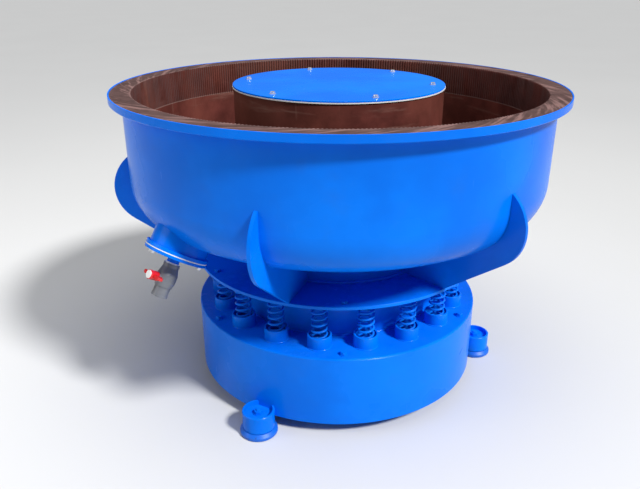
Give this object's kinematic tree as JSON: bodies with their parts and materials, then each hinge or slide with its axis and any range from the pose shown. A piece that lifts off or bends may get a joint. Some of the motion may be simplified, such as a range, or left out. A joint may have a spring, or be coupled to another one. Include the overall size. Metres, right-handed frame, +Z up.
{
  "type": "vibratory rock tumbler",
  "caption": "Round polyurethane-lined vibratory bowl with a covered centre column, on a ring of coil springs over a drum base, with a drain ball valve.",
  "frame": {"origin": "on the machine's vertical axis at floor level, under the middle of the three feet", "axes": "+Z up along the bowl's axis, -Y the front, where one tie-down bolt sits; the drain is 50 degrees from the front towards -X"},
  "size_m": [1.3604, 1.35, 0.962],
  "materials": {
    "blue_paint": "gloss enamel",
    "brown_lining": "cast polyurethane, semi-matt",
    "blue_rubber": "rubber, painted over",
    "zinc_steel": "bright zinc",
    "bright_steel": "ground",
    "cast_weight": "as machined",
    "motor_paint": "dark grey painted casting",
    "stator_steel": "laminated",
    "grey_pvc": "moulded",
    "red_plastic": "moulded",
    "white_plastic": "moulded",
    "pale_gasket": "sheet",
    "black_plastic": "moulded",
    "spring_paint": "gloss enamel"
  },
  "bodies": {
    "base": {"base_drum": "blue_paint", "base_top": "blue_paint", "base_ring": "blue_paint", "guard_tube": "blue_paint", "spring_cups": "blue_paint", "base_tie_bolts": "blue_paint", "foot_sockets": "blue_paint", "foot_pads": "blue_rubber", "foot_studs": "zinc_steel", "foot_nuts": "zinc_steel", "cable_gland": "black_plastic", "springs": "spring_paint"},
    "bowl": {"bowl_shell": "blue_paint", "rim_flange": "blue_paint", "wall_lining": "brown_lining", "trough_lining": "brown_lining", "central_tube": "blue_paint", "cover_seat": "blue_paint", "cover_gasket": "pale_gasket", "column_cover": "blue_paint", "cover_bolts": "zinc_steel", "gussets": "blue_paint", "spring_plate": "blue_paint", "spring_seats": "blue_paint", "plate_tie_bolts": "blue_paint", "motor_housing": "motor_paint", "motor_bells": "motor_paint", "stator": "stator_steel", "bearings": "bright_steel", "terminal_box": "motor_paint", "motor_bolts": "zinc_steel", "drain_neck": "blue_paint", "drain_gasket": "pale_gasket", "drain_plate": "blue_paint", "drain_bolts": "zinc_steel", "drain_screen": "brown_lining", "drain_nipple": "blue_paint", "valve_seal": "white_plastic", "valve_body": "grey_pvc", "valve_tail": "grey_pvc"},
    "rotor": {"motor_shaft": "bright_steel", "rotor_core": "stator_steel", "upper_weight": "cast_weight", "shaft_caps": "zinc_steel", "lower_weight": "cast_weight"},
    "lead_weight": {"adjust_weight": "cast_weight", "adjust_bolt": "zinc_steel"},
    "valve": {"valve_ball": "white_plastic", "valve_stem": "grey_pvc", "valve_handle": "red_plastic", "handle_cap": "white_plastic"}
  },
  "joints": [
    {"name": "bowl_bounce", "type": "slide", "parent": "base", "child": "bowl", "axis": [0, 0, 1], "range_m": [-0.01, 0.01], "stiffness_N_per_m": 780000, "springref_m": 0.00574, "deforming": ["springs"]},
    {"name": "rotor_spin", "type": "hinge", "parent": "bowl", "child": "rotor", "pos_m": [0, 0, 0.43], "axis": [0, 0, 1], "continuous": true},
    {"name": "weight_lead", "type": "hinge", "parent": "rotor", "child": "lead_weight", "pos_m": [0, 0, 0.27], "axis": [0, 0, 1], "range_deg": [0, 90]},
    {"name": "valve_turn", "type": "hinge", "parent": "bowl", "child": "valve", "pos_m": [-0.48537, -0.40728, 0.49428], "axis": [-0.6566, -0.551, 0.515], "range_deg": [0, 90]}
  ]
}
